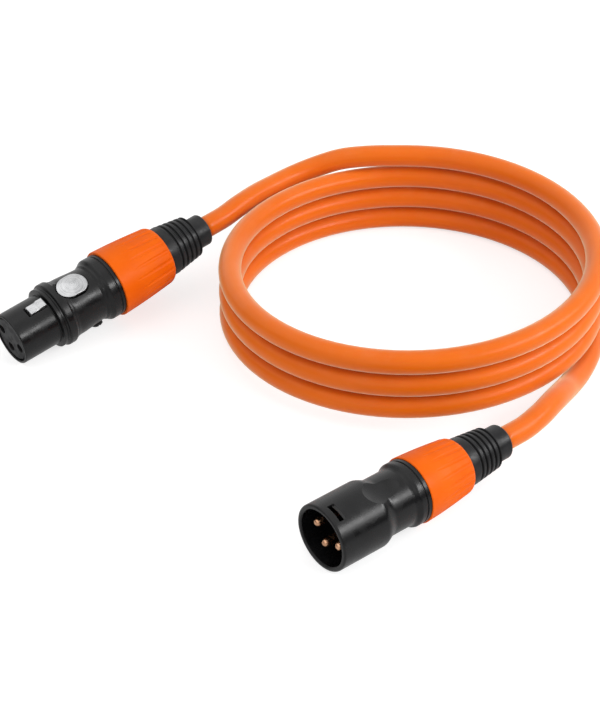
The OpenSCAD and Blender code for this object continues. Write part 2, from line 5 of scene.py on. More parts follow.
import bpy
import numpy as np
from mathutils import Matrix, Vector


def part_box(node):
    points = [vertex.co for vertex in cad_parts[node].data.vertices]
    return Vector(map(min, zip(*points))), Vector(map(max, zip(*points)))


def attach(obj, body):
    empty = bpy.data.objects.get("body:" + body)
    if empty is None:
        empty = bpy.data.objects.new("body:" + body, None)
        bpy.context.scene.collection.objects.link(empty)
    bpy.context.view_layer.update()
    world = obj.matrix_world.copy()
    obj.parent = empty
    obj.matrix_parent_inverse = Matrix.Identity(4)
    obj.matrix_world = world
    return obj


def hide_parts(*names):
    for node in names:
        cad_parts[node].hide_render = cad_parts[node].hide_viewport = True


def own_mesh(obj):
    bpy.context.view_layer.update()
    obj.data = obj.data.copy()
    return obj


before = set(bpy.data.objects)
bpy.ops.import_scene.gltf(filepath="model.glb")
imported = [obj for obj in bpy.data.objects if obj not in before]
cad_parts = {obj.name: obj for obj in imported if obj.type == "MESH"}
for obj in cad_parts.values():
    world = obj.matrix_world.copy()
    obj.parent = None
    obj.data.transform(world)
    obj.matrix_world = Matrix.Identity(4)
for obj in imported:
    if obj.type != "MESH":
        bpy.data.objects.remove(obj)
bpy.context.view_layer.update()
MM = 0.001


def new_object(name, data):
    """An object in the scene that holds this mesh, camera or lamp."""
    holder = bpy.data.objects.new(name, data)
    bpy.context.scene.collection.objects.link(holder)
    return holder


def aim(holder, spot, way):
    """Puts a camera or a lamp in its place and points it along a direction."""
    holder.location = spot
    holder.rotation_mode = "QUATERNION"
    holder.rotation_quaternion = way.to_track_quat("-Z", "Y")


# ---------------------------------------------------------------- camera

COIL_MIDDLE = Vector((67.45, 4.75, 0)) * MM
# Turns a direction from the studio, where the camera looks along Y, to the part's own frame
STUDIO_TURN = Matrix.Rotation(math.radians(-39.3), 3, "Z")
CAMERA_SPOT = Vector((-33.3, -493.5, 342.2)) * MM
CAMERA_DIP = math.radians(35.9)
CAMERA_LENS = 99


def make_camera():
    """Looks down on the coil, with the plugs pointing to the lower left."""
    lens = bpy.data.cameras.new("camera")
    lens.sensor_width = 36
    lens.lens = CAMERA_LENS
    lens.clip_start = 0.02
    lens.clip_end = 20
    camera = new_object("camera", lens)
    ahead = STUDIO_TURN @ Vector((0, math.cos(CAMERA_DIP), -math.sin(CAMERA_DIP)))
    aim(camera, STUDIO_TURN @ CAMERA_SPOT + COIL_MIDDLE, ahead)
    bpy.context.scene.camera = camera


make_camera()


# ---------------------------------------------------------------- cord

# Lengths from here down to cord_line are in millimetres
CORD_D = 6.8
COIL_R = 54.2
COIL_PITCH = 7.5
COIL_TURNS = 3.25
# Share of each turn that lies level before it climbs
COIL_LEVEL = 0.35
# Angle round the coil, in degrees, of its upper end
COIL_START = 50.7
STEPS_A_TURN = 96
LEAD_STEP = 1.6
CORD_SIDES = 32

# Exits of the two plugs and the directions in which the cord leaves them
FEMALE_PITCH = math.radians(8)
FEMALE_EXIT = np.array([33.318, 62.75, 17.873])
FEMALE_WAY = np.array([math.cos(FEMALE_PITCH), 0, math.sin(FEMALE_PITCH)])
MALE_EXIT = np.array([38.6, -63.85, 9.5])
MALE_WAY = np.array([1.0, 0, 0])
# Routes of the two leads, from plug to coil
FEMALE_ROUTE = [
    [48, 63.4, 20.3],
    [56, 64.9, 20.6],
    [64, 65.9, 20.5],
    [72, 66, 20.9],
    [79.5, 64, 22.3],
    [86, 60, 24.4],
    [92.5, 54.5, 25.6],
]
MALE_ROUTE = [
    [54.5, -62.6, 9.7],
    [62, -60.1, 9.2],
    [69.5, -56.8, 7.2],
    [76, -53.5, 4.8],
    [83, -50.4, 3.7],
    [90, -46.9, 3.6],
    [97, -42.3, 3.6],
]


def smooth(s):
    """Goes from 0 to 1 with a level start and end."""
    return s * s * (3 - 2 * s)


def coil_height(turns_up):
    """Each turn lies level for a while, then climbs to the next."""
    whole = math.floor(turns_up + 1e-9)
    rest = max(0.0, (turns_up - whole - COIL_LEVEL) / (1 - COIL_LEVEL))
    return CORD_D / 2 + COIL_PITCH * (whole + smooth(rest))


def coil_points():
    """Points down the coil, from its upper end to its foot."""
    x, y = COIL_MIDDLE.x / MM, COIL_MIDDLE.y / MM
    steps = round(COIL_TURNS * STEPS_A_TURN)
    points = []
    for i in range(steps + 1):
        a = math.radians(COIL_START - 360 * i / STEPS_A_TURN)
        z = coil_height((steps - i) / STEPS_A_TURN)
        points.append([x + COIL_R * math.cos(a), y + COIL_R * math.sin(a), z])
    return np.array(points)


def coil_way(angle):
    """The direction in which the coil runs down, at an angle in degrees."""
    a = math.radians(angle)
    return np.array([math.sin(a), -math.cos(a), 0.0])


def lead_points(start, start_way, route, end, end_way):
    """A smooth line through a lead's points, straight for one cord at its start."""
    stops = [start, start + CORD_D * start_way, *map(np.array, route), end]
    stops = np.array(stops, float)
    ways = np.empty_like(stops)
    chord = np.linalg.norm(np.diff(stops, axis=0), axis=1)
    for i in range(1, len(stops) - 1):
        before = (stops[i] - stops[i - 1]) / chord[i - 1]
        after = (stops[i + 1] - stops[i]) / chord[i]
        share = chord[i - 1] / (chord[i - 1] + chord[i])
        way = before * (1 - share) + after * share
        ways[i] = way / np.linalg.norm(way)
    ways[0] = ways[1] = start_way
    ways[-1] = end_way
    line = []
    for i, run in enumerate(chord):
        a, b = stops[i], stops[i + 1]
        p, q = ways[i] * run, ways[i + 1] * run
        for t in np.arange(0, 1, 1.0 / max(2, round(run / LEAD_STEP))):
            t2, t3 = t * t, t * t * t
            line.append(
                (2 * t3 - 3 * t2 + 1) * a
                + (t3 - 2 * t2 + t) * p
                + (3 * t2 - 2 * t3) * b
                + (t3 - t2) * q
            )
    return np.array(line)


def cord_line():
    """The whole cord in metres, from the female plug over the coil to the male plug."""
    coil = coil_points()
    top_way = coil_way(COIL_START)
    foot_way = coil_way(COIL_START - 360 * COIL_TURNS)
    top = coil[0] - CORD_D * top_way
    foot = coil[-1] + CORD_D * foot_way
    first = lead_points(FEMALE_EXIT, FEMALE_WAY, FEMALE_ROUTE, top, top_way)
    last = lead_points(MALE_EXIT, MALE_WAY, MALE_ROUTE, foot, -foot_way)
    return np.vstack([first, top, coil, foot, last[::-1]]) * MM


def sweep(name, line, radius, sides):
    """A round tube along a line, with UVs: across is once round, up is metres along."""
    ways = np.gradient(line, axis=0)
    ways /= np.linalg.norm(ways, axis=1)[:, None]
    runs = np.r_[0, np.cumsum(np.linalg.norm(np.diff(line, axis=0), axis=1))]
    side = np.cross(ways, [0, 0, 1.0])
    side /= np.linalg.norm(side, axis=1)[:, None]
    up = np.cross(side, ways)
    turn = np.linspace(0, 2 * math.pi, sides, endpoint=False)
    rings = (
        line[:, None, :]
        + radius * np.cos(turn)[None, :, None] * side[:, None, :]
        + radius * np.sin(turn)[None, :, None] * up[:, None, :]
    )
    faces = []
    uvs = []
    last = (len(line) - 1) * sides
    for i in range(len(line) - 1):
        ring, after = i * sides, (i + 1) * sides
        for k in range(sides):
            m = (k + 1) % sides
            faces.append([ring + k, ring + m, after + m, after + k])
            a, b = k / sides, (k + 1) / sides
            uvs += [(a, runs[i]), (b, runs[i]), (b, runs[i + 1]), (a, runs[i + 1])]
    faces.append(list(range(sides))[::-1])
    faces.append([last + k for k in range(sides)])
    uvs += [(0.5, 0.0)] * (2 * sides)
    mesh = bpy.data.meshes.new(name)
    mesh.from_pydata(rings.reshape(-1, 3).tolist(), [], faces)
    layer = mesh.uv_layers.new(name="jacket")
    layer.data.foreach_set("uv", np.array(uvs, np.float32).ravel())
    mesh.polygons.foreach_set("use_smooth", [True] * (len(faces) - 2) + [False] * 2)
    mesh.update()
    return new_object(name, mesh)


line = cord_line()
cord = sweep("cord", line, CORD_D / 2 * MM, CORD_SIDES)
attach(cord, "cable")
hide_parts("cord_coil", "cord_lead_female", "cord_lead_male")
# The black plugs and the turns themselves mirror the studio, not the cord beside them
cord.visible_glossy = False


# ---------------------------------------------------------------- latch spring

# The way that the latch's button faces
BUTTON_WAY = Vector((-0.1338, -0.2756, 0.9519))
SPRING_R = 1.0 * MM
SPRING_WIRE = 0.3 * MM
SPRING_LENGTH = 1.78 * MM
SPRING_TURNS = 3
SPRING_STEPS_A_TURN = 40
SPRING_SIDES = 12


def make_latch_spring():
    """The spring under the latch, swept as a helix round the CAD spring's middle along the
    button's way.
    """
    low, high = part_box("female_latch_spring")
    middle = (np.array(low) + np.array(high)) / 2
    way = np.array(BUTTON_WAY.normalized())
    across = np.cross(way, [1.0, 0, 0])
    across /= np.linalg.norm(across)
    along = np.cross(across, way)
    share = np.linspace(0, 1, SPRING_TURNS * SPRING_STEPS_A_TURN + 1)[:, None]
    turn = 2 * math.pi * SPRING_TURNS * share
    round_axis = SPRING_R * (np.cos(turn) * along + np.sin(turn) * across)
    wire = middle + round_axis + (SPRING_LENGTH - SPRING_WIRE) * (share - 0.5) * way
    spring = sweep("latch_spring", wire, SPRING_WIRE / 2, SPRING_SIDES)
    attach(spring, "cable")
    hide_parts("female_latch_spring")
    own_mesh(spring)
    return spring


latch_spring = make_latch_spring()


# ---------------------------------------------------------------- node benches


class Bench:
    """Places and links nodes in one tree."""

    NODE_STEP = 180

    def __init__(self, tree):
        self.tree = tree
        self.x = 0

    def put(self, kind, settings=None, **inputs):
        """Adds a node. A node or socket given as an input is linked, anything else is set."""
        node = self.tree.nodes.new(kind)
        self.x += self.NODE_STEP
        node.location = (self.x, 0)
        for key, value in (settings or {}).items():
            setattr(node, key, value)
        for key, value in inputs.items():
            self.feed(node, key.replace("_", " "), value)
        return node

    def feed(self, node, socket, value):
        """Fills one input, which is named by its label or by its number as text."""
        target = node.inputs[int(socket)] if socket.isdigit() else node.inputs[socket]
        if isinstance(value, bpy.types.Node):
            self.tree.links.new(value.outputs[0], target)
        elif isinstance(value, bpy.types.NodeSocket):
            self.tree.links.new(value, target)
        else:
            target.default_value = value

    def maths(self, operation, a, b, clamp=False):
        node = self.put("ShaderNodeMath", {"operation": operation, "use_clamp": clamp})
        self.feed(node, "0", a)
        self.feed(node, "1", b)
        return node.outputs[0]

    def times(self, a, b, clamp=False):
        return self.maths("MULTIPLY", a, b, clamp)

    def weigh(self, a, weight_a, b, weight_b):
        """The sum of two values, each times its weight."""
        first = self.times(a, weight_a)
        second = self.times(b, weight_b)
        return self.maths("ADD", first, second)

    def vector(self, operation, a, b=None, out=0):
        node = self.put("ShaderNodeVectorMath", {"operation": operation})
        self.feed(node, "0", a)
        if b is not None:
            self.feed(node, "Scale" if operation == "SCALE" else "1", b)
        return node.outputs[out]

    def span(self, value, low, high, new_low=0.0, new_high=1.0):
        """Maps low..high smoothly to new_low..new_high, held at its ends."""
        node = self.put("ShaderNodeMapRange", {"interpolation_type": "SMOOTHSTEP"})
        for socket, given in (
            ("Value", value),
            ("From Min", low),
            ("From Max", high),
            ("To Min", new_low),
            ("To Max", new_high),
        ):
            self.feed(node, socket, given)
        return node.outputs[0]

    def pick(self, amount, a, b):
        """A value that goes from a to b as the amount goes from 0 to 1."""
        node = self.put("ShaderNodeMix", {"data_type": "FLOAT"})
        for socket, given in (("0", amount), ("2", a), ("3", b)):
            self.feed(node, socket, given)
        return node.outputs[0]

    def blend(self, amount, a, b):
        """A colour that goes from a to b as the amount goes from 0 to 1."""
        node = self.put("ShaderNodeMix", {"data_type": "RGBA"})
        self.feed(node, "0", amount)
        for socket, given in (("6", a), ("7", b)):
            is_socket = isinstance(given, bpy.types.NodeSocket)
            self.feed(node, socket, given if is_socket else (*given, 1))
        return node.outputs[2]

    def lay(self, mask, amount, under, over):
        """Lays one colour over another by a share of a mask."""
        return self.blend(self.times(mask, amount), under, over)

    def noise(self, vector, scale, detail=3.0, rough=0.55):
        node = self.put("ShaderNodeTexNoise")
        for socket, given in (
            ("Vector", vector),
            ("Scale", scale),
            ("Detail", detail),
            ("Roughness", rough),
        ):
            self.feed(node, socket, given)
        return node.outputs[0]

    def stretch(self, vector, scale, turn=(0, 0, 0), shift=(0, 0, 0)):
        node = self.put("ShaderNodeMapping")
        for socket, given in (
            ("Vector", vector),
            ("Location", shift),
            ("Rotation", turn),
            ("Scale", scale),
        ):
            self.feed(node, socket, given)
        return node.outputs[0]


class Finish(Bench):
    """One material: a Principled shader and the bench that its nodes are placed on."""

    def __init__(self, name):
        self.material = bpy.data.materials.new(name)
        self.material.use_nodes = True
        super().__init__(self.material.node_tree)
        self.tree.nodes.clear()
        out = self.put("ShaderNodeOutputMaterial")
        self.shader = self.put("ShaderNodeBsdfPrincipled")
        self.feed(out, "Surface", self.shader)
        self.coords = self.put("ShaderNodeTexCoord").outputs["Object"]

    def place(self, group, **inputs):
        """Places an effect, over the piece's own coordinates unless it is given others."""
        node = self.put("ShaderNodeGroup", {"node_tree": group})
        for key, value in {"Vector": self.coords, **inputs}.items():
            self.feed(node, key.replace("_", " "), value)
        return node.outputs

    def bump(self, height, strength, distance, normal=None):
        node = self.put("ShaderNodeBump")
        self.feed(node, "Height", height)
        self.feed(node, "Strength", strength)
        self.feed(node, "Distance", distance)
        if normal is not None:
            self.feed(node, "Normal", normal)
        return node.outputs[0]

    def set(self, **inputs):
        for key, value in inputs.items():
            self.feed(self.shader, key.replace("_", " "), value)


# ---------------------------------------------------------------- effects that finishes share


def new_group(name, inputs, outputs):
    """A node group that takes a Vector and numbers: its bench, its inputs and its output node."""
    group = bpy.data.node_groups.new(name, "ShaderNodeTree")
    sockets = group.interface
    sockets.new_socket(name="Vector", in_out="INPUT", socket_type="NodeSocketVector")
    for label, default in inputs.items():
        socket = sockets.new_socket(name=label, in_out="INPUT", socket_type="NodeSocketFloat")
        socket.default_value = default
    for label in outputs:
        kind = "NodeSocketVector" if "Normal" in label else "NodeSocketFloat"
        sockets.new_socket(name=label, in_out="OUTPUT", socket_type=kind)
    b = Bench(group)
    return b, b.put("NodeGroupInput").outputs, b.put("NodeGroupOutput")


def moulded_grain():
    """The skin of a moulded piece: fine spark texture, flow marks and gloss patches."""
    b, given, out = new_group(
        "moulded grain",
        {"Grain Scale": 5200.0, "Patch Scale": 160.0},
        ["Height", "Tone", "Gloss"],
    )
    fine = b.noise(given["Vector"], given["Grain Scale"], 2.0, 0.6)
    patch = b.noise(given["Vector"], given["Patch Scale"], 4.0, 0.5)
    flow = b.noise(b.vector("SCALE", given["Vector"], 2.3), given["Patch Scale"], 1.0, 0.4)
    b.feed(out, "Height", b.weigh(fine, 0.8, flow, 0.2))
    b.feed(out, "Tone", b.span(patch, 0.3, 0.7))
    b.feed(out, "Gloss", b.span(flow, 0.35, 0.65))
    return b.tree


def edge_wear():
    """Finds outer edges, broken up as handling breaks them, and rounds them in the normal."""
    b, given, out = new_group(
        "edge wear",
        {"Width": 0.0003, "Break Up": 900.0},
        ["Mask", "Rounded Normal"],
    )
    bevel = b.put("ShaderNodeBevel", {"samples": 6}, Radius=given["Width"]).outputs[0]
    facing = b.put("ShaderNodeNewGeometry").outputs["Normal"]
    edge = b.span(b.vector("DOT_PRODUCT", bevel, facing, "Value"), 0.995, 0.86)
    patch = b.span(b.noise(given["Vector"], given["Break Up"], 4.0, 0.6), 0.38, 0.62)
    b.feed(out, "Mask", b.times(edge, patch, clamp=True))
    b.feed(out, "Rounded Normal", bevel)
    return b.tree


def settled_dust():
    """A thin film of dust on what faces up, thicker in patches, with single specks."""
    b, given, out = new_group("settled dust", {"Patch Scale": 220.0}, ["Film", "Specks"])
    normal = b.put("ShaderNodeNewGeometry").outputs["Normal"]
    upward = b.put("ShaderNodeSeparateXYZ", Vector=normal).outputs["Z"]
    facing = b.span(upward, 0.1, 0.95)
    patch = b.span(b.noise(given["Vector"], given["Patch Scale"], 5.0, 0.62), 0.42, 0.72)
    b.feed(out, "Film", b.times(facing, patch, clamp=True))
    cells = b.put("ShaderNodeTexVoronoi", {"feature": "F1"}, Vector=given["Vector"], Scale=620.0)
    speck = b.span(cells.outputs["Distance"], 0.075, 0.035)
    b.feed(out, "Specks", b.times(speck, facing, clamp=True))
    return b.tree


def painted_groove_shade():
    """Painted shade in grooves and at seams, found from how closed in the surface is."""
    b, given, out = new_group("painted groove shade", {"Reach": 0.001, "Break Up": 500.0}, ["Mask"])
    closed = b.put("ShaderNodeAmbientOcclusion", {"samples": 8, "only_local": True})
    b.feed(closed, "Distance", given["Reach"])
    deep = b.span(closed.outputs["AO"], 0.92, 0.5)
    patch = b.span(b.noise(given["Vector"], given["Break Up"], 3.0, 0.5), 0.3, 0.6, 0.6, 1.0)
    b.feed(out, "Mask", b.times(deep, patch, clamp=True))
    return b.tree


def drawn_lines():
    """Fine lines along the direction in which the vector is stretched, as drawing leaves."""
    b, given, out = new_group("drawn lines", {"Spacing": 1.0}, ["Lines"])
    lines = b.noise(given["Vector"], given["Spacing"], 6.0, 0.65)
    b.feed(out, "Lines", b.span(lines, 0.3, 0.7))
    return b.tree


def handling_scratches():
    """Sparse hairline scratches in two crossing directions, gathered in patches."""
    b, given, out = new_group("handling scratches", {"Amount": 0.5}, ["Mask"])
    hairs = []
    for turn in ((0.2, 0.5, 0.9), (1.1, 0.1, -0.7)):
        run = b.stretch(given["Vector"], (130.0, 3600.0, 3600.0), turn)
        hairs.append(b.span(b.noise(run, 1.0, 1.0, 0.4), 0.71, 0.76))
    place = b.span(b.noise(given["Vector"], 210.0, 2.0, 0.5), 0.45, 0.65)
    gathered = b.times(b.maths("MAXIMUM", *hairs), place)
    b.feed(out, "Mask", b.times(gathered, given["Amount"], clamp=True))
    return b.tree


THREAD_PITCH = 1.0 * MM
# Inside this distance from its plug's axis a shell carries no thread
THREAD_ROOT = 6.9 * MM
# How far behind a collar's seam its thread starts and ends
THREAD_START = 0.6 * MM
THREAD_END = 7.8 * MM


def screw_thread():
    """A thread round a plug's spigot. The vector is in the plug's own frame, along X."""
    b, given, out = new_group(
        "screw thread",
        {"Pitch": THREAD_PITCH, "From": 0.03, "To": 0.04},
        ["Height"],
    )
    at = b.put("ShaderNodeSeparateXYZ", Vector=given["Vector"]).outputs
    turn = b.maths("DIVIDE", b.maths("ARCTAN2", at["Z"], at["Y"]), 2 * math.pi)
    phase = b.maths("ADD", b.maths("DIVIDE", at["X"], given["Pitch"]), turn)
    ridge = b.maths("PINGPONG", phase, 0.5)
    starts = b.maths("GREATER_THAN", at["X"], given["From"])
    ends = b.maths("LESS_THAN", at["X"], given["To"])
    level = b.put("ShaderNodeCombineXYZ", Y=at["Y"], Z=at["Z"]).outputs[0]
    outside = b.maths("GREATER_THAN", b.vector("LENGTH", level, out="Value"), THREAD_ROOT)
    mask = b.times(b.times(starts, ends), outside)
    b.feed(out, "Height", b.times(b.times(ridge, 2.0), mask))
    return b.tree


GRAIN = moulded_grain()
WEAR = edge_wear()
DUST = settled_dust()
LINES = drawn_lines()
GROOVE_SHADE = painted_groove_shade()
SCRATCHES = handling_scratches()
THREAD = screw_thread()


# ---------------------------------------------------------------- finishes

# Painted shade for the grooves and seams of black pieces
BLACK_GROOVE_SHADE = (0.001, 0.001, 0.001)


def glossy_black_shell(name, face, pitch, seam):
    """Polished black moulding of one plug, with the screw thread on its spigot."""
    f = Finish(name)
    shift = tuple(-(Matrix.Rotation(pitch, 3, "Y") @ face))
    own = f.stretch(f.coords, (1, 1, 1), (0, pitch, 0), shift)
    first, last = seam + THREAD_START, seam + THREAD_END
    thread = f.place(THREAD, Vector=own, Pitch=THREAD_PITCH, From=first, To=last)
    grain = f.place(GRAIN, Grain_Scale=4200.0, Patch_Scale=130.0)
    wear = f.place(WEAR, Width=0.00028, Break_Up=700.0)
    dust = f.place(DUST, Patch_Scale=180.0)
    scratches = f.place(SCRATCHES, Amount=0.6)
    groove_shade = f.place(GROOVE_SHADE, Reach=0.0009, Break_Up=500.0)
    tone = f.blend(grain["Tone"], (0.0025, 0.0025, 0.0028), (0.005, 0.005, 0.0055))
    worn = f.lay(wear["Mask"], 0.3, tone, (0.04, 0.04, 0.043))
    scratched = f.lay(scratches["Mask"], 0.25, worn, (0.07, 0.07, 0.074))
    film = f.weigh(dust["Film"], 0.006, dust["Specks"], 0.03)
    dusted = f.blend(film, scratched, (0.5, 0.48, 0.45))
    polish = f.span(grain["Gloss"], 0.0, 1.0, 0.24, 0.31)
    dulled = f.maths("ADD", polish, f.times(dust["Film"], 0.05))
    skin = f.bump(grain["Height"], 0.1, 0.00004, wear["Rounded Normal"])
    # Painted shade darkens the base colour in grooves and at seams
    f.set(
        Base_Color=f.lay(groove_shade["Mask"], 0.8, dusted, BLACK_GROOVE_SHADE),
        Roughness=f.maths("ADD", dulled, f.times(scratches["Mask"], 0.12)),
        Specular_IOR_Level=0.32,
        Normal=f.bump(thread["Height"], 0.9, 0.0004, skin),
    )
    return f.material


def matt_black_insert():
    """Plainly moulded black plastic of the inserts and cord clamps."""
    f = Finish("matt black insert")
    grain = f.place(GRAIN, Grain_Scale=6500.0, Patch_Scale=240.0)
    wear = f.place(WEAR, Width=0.00018, Break_Up=1200.0)
    tone = f.blend(grain["Tone"], (0.009, 0.009, 0.01), (0.016, 0.016, 0.0175))
    f.set(
        Base_Color=f.lay(wear["Mask"], 0.3, tone, (0.06, 0.06, 0.062)),
        Roughness=f.span(grain["Gloss"], 0.0, 1.0, 0.45, 0.58),
        Specular_IOR_Level=0.25,
        Normal=f.bump(grain["Height"], 0.25, 0.00006, wear["Rounded Normal"]),
    )
    return f.material


def black_rubber_boot():
    """Soft black rubber, with dust on its ribs and painted shade in its grooves."""
    f = Finish("black rubber boot")
    grain = f.place(GRAIN, Grain_Scale=3600.0, Patch_Scale=260.0)
    wear = f.place(WEAR, Width=0.00016, Break_Up=1100.0)
    dust = f.place(DUST, Patch_Scale=420.0)
    groove_shade = f.place(GROOVE_SHADE, Reach=0.001, Break_Up=600.0)
    tone = f.blend(grain["Tone"], (0.0045, 0.0046, 0.0052), (0.009, 0.0092, 0.0102))
    worn = f.lay(wear["Mask"], 0.5, tone, (0.045, 0.045, 0.047))
    film = f.weigh(dust["Film"], 0.025, dust["Specks"], 0.08)
    dusted = f.blend(film, worn, (0.3, 0.29, 0.28))
    # Painted shade darkens the base colour in the grooves between the ribs
    f.set(
        Base_Color=f.lay(groove_shade["Mask"], 0.8, dusted, BLACK_GROOVE_SHADE),
        Roughness=f.span(grain["Gloss"], 0.0, 1.0, 0.34, 0.44),
        Specular_IOR_Level=0.3,
        Sheen_Weight=0.03,
        Sheen_Roughness=0.4,
        Normal=f.bump(grain["Height"], 0.3, 0.00008, wear["Rounded Normal"]),
    )
    return f.material


def bright_orange_collar():
    """Bright orange moulding, paler at worn edges, with painted shade at the foot of its flutes.
    """
    f = Finish("bright orange moulding")
    grain = f.place(GRAIN, Grain_Scale=3000.0, Patch_Scale=110.0)
    wear = f.place(WEAR, Width=0.00012, Break_Up=600.0)
    dust = f.place(DUST, Patch_Scale=200.0)
    scratches = f.place(SCRATCHES, Amount=0.5)
    groove_shade = f.place(GROOVE_SHADE, Reach=0.0012, Break_Up=400.0)
    tone = f.blend(grain["Tone"], (0.76, 0.106, 0.0), (0.81, 0.125, 0.001))
    worn = f.lay(wear["Mask"], 0.25, tone, (1.0, 0.27, 0.05))
    scratched = f.lay(scratches["Mask"], 0.2, worn, (1.0, 0.3, 0.08))
    dusted = f.lay(dust["Film"], 0.015, scratched, (0.8, 0.6, 0.5))
    # Painted shade darkens the base colour at the foot of the flutes
    f.set(
        Base_Color=f.lay(groove_shade["Mask"], 0.6, dusted, (0.5, 0.045, 0.0)),
        Roughness=f.span(grain["Gloss"], 0.0, 1.0, 0.42, 0.52),
        Specular_IOR_Level=0.11,
        Normal=f.bump(grain["Height"], 0.2, 0.00005, wear["Rounded Normal"]),
    )
    return f.material


# What the cord's jacket has in common outside the plugs and in them
JACKET_TONES = (0.73, 0.125, 0.0), (0.79, 0.147, 0.001)
JACKET_DRAWN = (0.83, 0.192, 0.008)
JACKET_SKIN = {
    "Specular_IOR_Level": 0.22,
    "Sheen_Weight": 1.0,
    "Sheen_Roughness": 0.35,
    "Sheen_Tint": (1.0, 0.95, 0.6, 1.0),
    "Subsurface_Weight": 0.15,
    "Subsurface_Radius": (0.003, 0.0011, 0.0004),
    "Subsurface_Scale": 1.0,
}


def orange_jacket():
    """Extruded cord jacket: faint draw lines, soft tone drift, dust, and painted shade in its
    creases.
    """
    f = Finish("orange cord jacket")
    uv = f.put("ShaderNodeTexCoord").outputs["UV"]
    lines = f.place(LINES, Vector=f.stretch(uv, (38.0, 9.0, 1.0)), Spacing=1.0)
    drift = f.noise(f.stretch(uv, (1.0, 24.0, 1.0)), 1.0, 3.0, 0.5)
    grain = f.place(GRAIN, Grain_Scale=2600.0, Patch_Scale=90.0)
    dust = f.place(DUST, Patch_Scale=150.0)
    crease_shade = f.place(GROOVE_SHADE, Reach=0.003, Break_Up=60.0)["Mask"]
    tone = f.blend(f.span(drift, 0.3, 0.7), *JACKET_TONES)
    drawn = f.lay(lines["Lines"], 0.16, tone, JACKET_DRAWN)
    dusted = f.lay(dust["Film"], 0.03, drawn, (0.8, 0.55, 0.42))
    specked = f.lay(dust["Specks"], 0.08, dusted, (0.9, 0.7, 0.6))
    gloss = f.span(grain["Gloss"], 0.0, 1.0, 0.3, 0.38)
    height = f.weigh(lines["Lines"], 0.5, grain["Height"], 0.5)
    # Painted shade darkens and roughens the creases between the turns
    f.set(
        Base_Color=f.lay(crease_shade, 0.25, specked, (0.46, 0.058, 0.0)),
        Roughness=f.maths("ADD", gloss, f.times(crease_shade, 0.45)),
        Normal=f.bump(height, 0.1, 0.00006),
        **JACKET_SKIN,
    )
    return f.material


def jacket_tail():
    """The same jacket where it runs inside a plug, with no UVs of its own."""
    f = Finish("orange cord jacket inside")
    lines = f.place(LINES, Vector=f.stretch(f.coords, (30.0, 1500.0, 1500.0)), Spacing=1.0)
    grain = f.place(GRAIN, Grain_Scale=2600.0, Patch_Scale=90.0)
    tone = f.blend(grain["Tone"], *JACKET_TONES)
    f.set(
        Base_Color=f.lay(lines["Lines"], 0.16, tone, JACKET_DRAWN),
        Roughness=f.span(grain["Gloss"], 0.0, 1.0, 0.3, 0.38),
        Normal=f.bump(grain["Height"], 0.1, 0.00006),
        **JACKET_SKIN,
    )
    return f.material


BUTTON_MIDDLE = Vector((-16.688, 60.104, 20.164)) * MM
# Within this distance of its middle the latch is its button, and has rings
BUTTON_REACH = 4.9 * MM
# Heights from the button's middle, both below it, between which painted shade darkens its flank
FLANK_TOP = -0.95 * MM
FLANK_FOOT = -1.25 * MM


def bright_latch():
    """Bright latch metal: brushed along its lever and turned in rings on its button, with painted
    shade on the button's flank.
    """
    f = Finish("bright brushed metal")
    off = f.vector("SUBTRACT", f.coords, tuple(BUTTON_MIDDLE))
    rise = f.vector("DOT_PRODUCT", off, tuple(BUTTON_WAY), "Value")
    level = f.vector("SUBTRACT", off, f.vector("SCALE", tuple(BUTTON_WAY), rise))
    radius = f.vector("LENGTH", level, out="Value")
    on_button = f.maths("LESS_THAN", radius, BUTTON_REACH)
    ring = f.put("ShaderNodeCombineXYZ", X=radius).outputs[0]
    rings = f.span(f.noise(ring, 3200.0, 4.0, 0.7), 0.35, 0.65)
    swirl = f.span(f.noise(level, 420.0, 2.0, 0.5), 0.35, 0.65)
    lines = f.place(LINES, Vector=f.stretch(f.coords, (260.0, 2600.0, 2600.0)), Spacing=1.0)
    wear = f.place(WEAR, Width=0.0002, Break_Up=900.0)
    scratches = f.place(SCRATCHES, Amount=0.8)
    marks = f.pick(on_button, lines["Lines"], rings)
    painted_flank_shade = f.times(f.span(rise, FLANK_TOP, FLANK_FOOT), on_button)
    tone = f.blend(marks, (0.33, 0.333, 0.34), (0.6, 0.603, 0.61))
    cloudy = f.lay(swirl, 0.45, tone, (0.7, 0.703, 0.71))
    worn = f.lay(wear["Mask"], 0.5, cloudy, (0.82, 0.82, 0.82))
    scratched = f.lay(scratches["Mask"], 0.4, worn, (0.3, 0.3, 0.31))
    # Painted shade darkens the button's flank where it sits in its well
    f.set(
        Base_Color=f.blend(painted_flank_shade, scratched, (0.05, 0.05, 0.052)),
        Metallic=1.0,
        Roughness=f.span(marks, 0.0, 1.0, 0.24, 0.36),
        Normal=f.bump(marks, 0.25, 0.00004, wear["Rounded Normal"]),
    )
    return f.material


def plated_contact():
    """Copper-gold plating, paler at its worn edges and finely scratched."""
    f = Finish("copper gold plating")
    grain = f.place(GRAIN, Grain_Scale=5200.0, Patch_Scale=520.0)
    wear = f.place(WEAR, Width=0.00015, Break_Up=1500.0)
    scratches = f.place(SCRATCHES, Amount=0.7)
    tone = f.blend(grain["Tone"], (0.56, 0.3, 0.17), (0.72, 0.42, 0.26))
    worn = f.lay(wear["Mask"], 0.5, tone, (0.93, 0.74, 0.56))
    f.set(
        Base_Color=f.lay(scratches["Mask"], 0.3, worn, (0.45, 0.25, 0.14)),
        Metallic=1.0,
        Roughness=f.span(grain["Gloss"], 0.0, 1.0, 0.2, 0.32),
        Normal=f.bump(grain["Height"], 0.08, 0.00003, wear["Rounded Normal"]),
    )
    return f.material


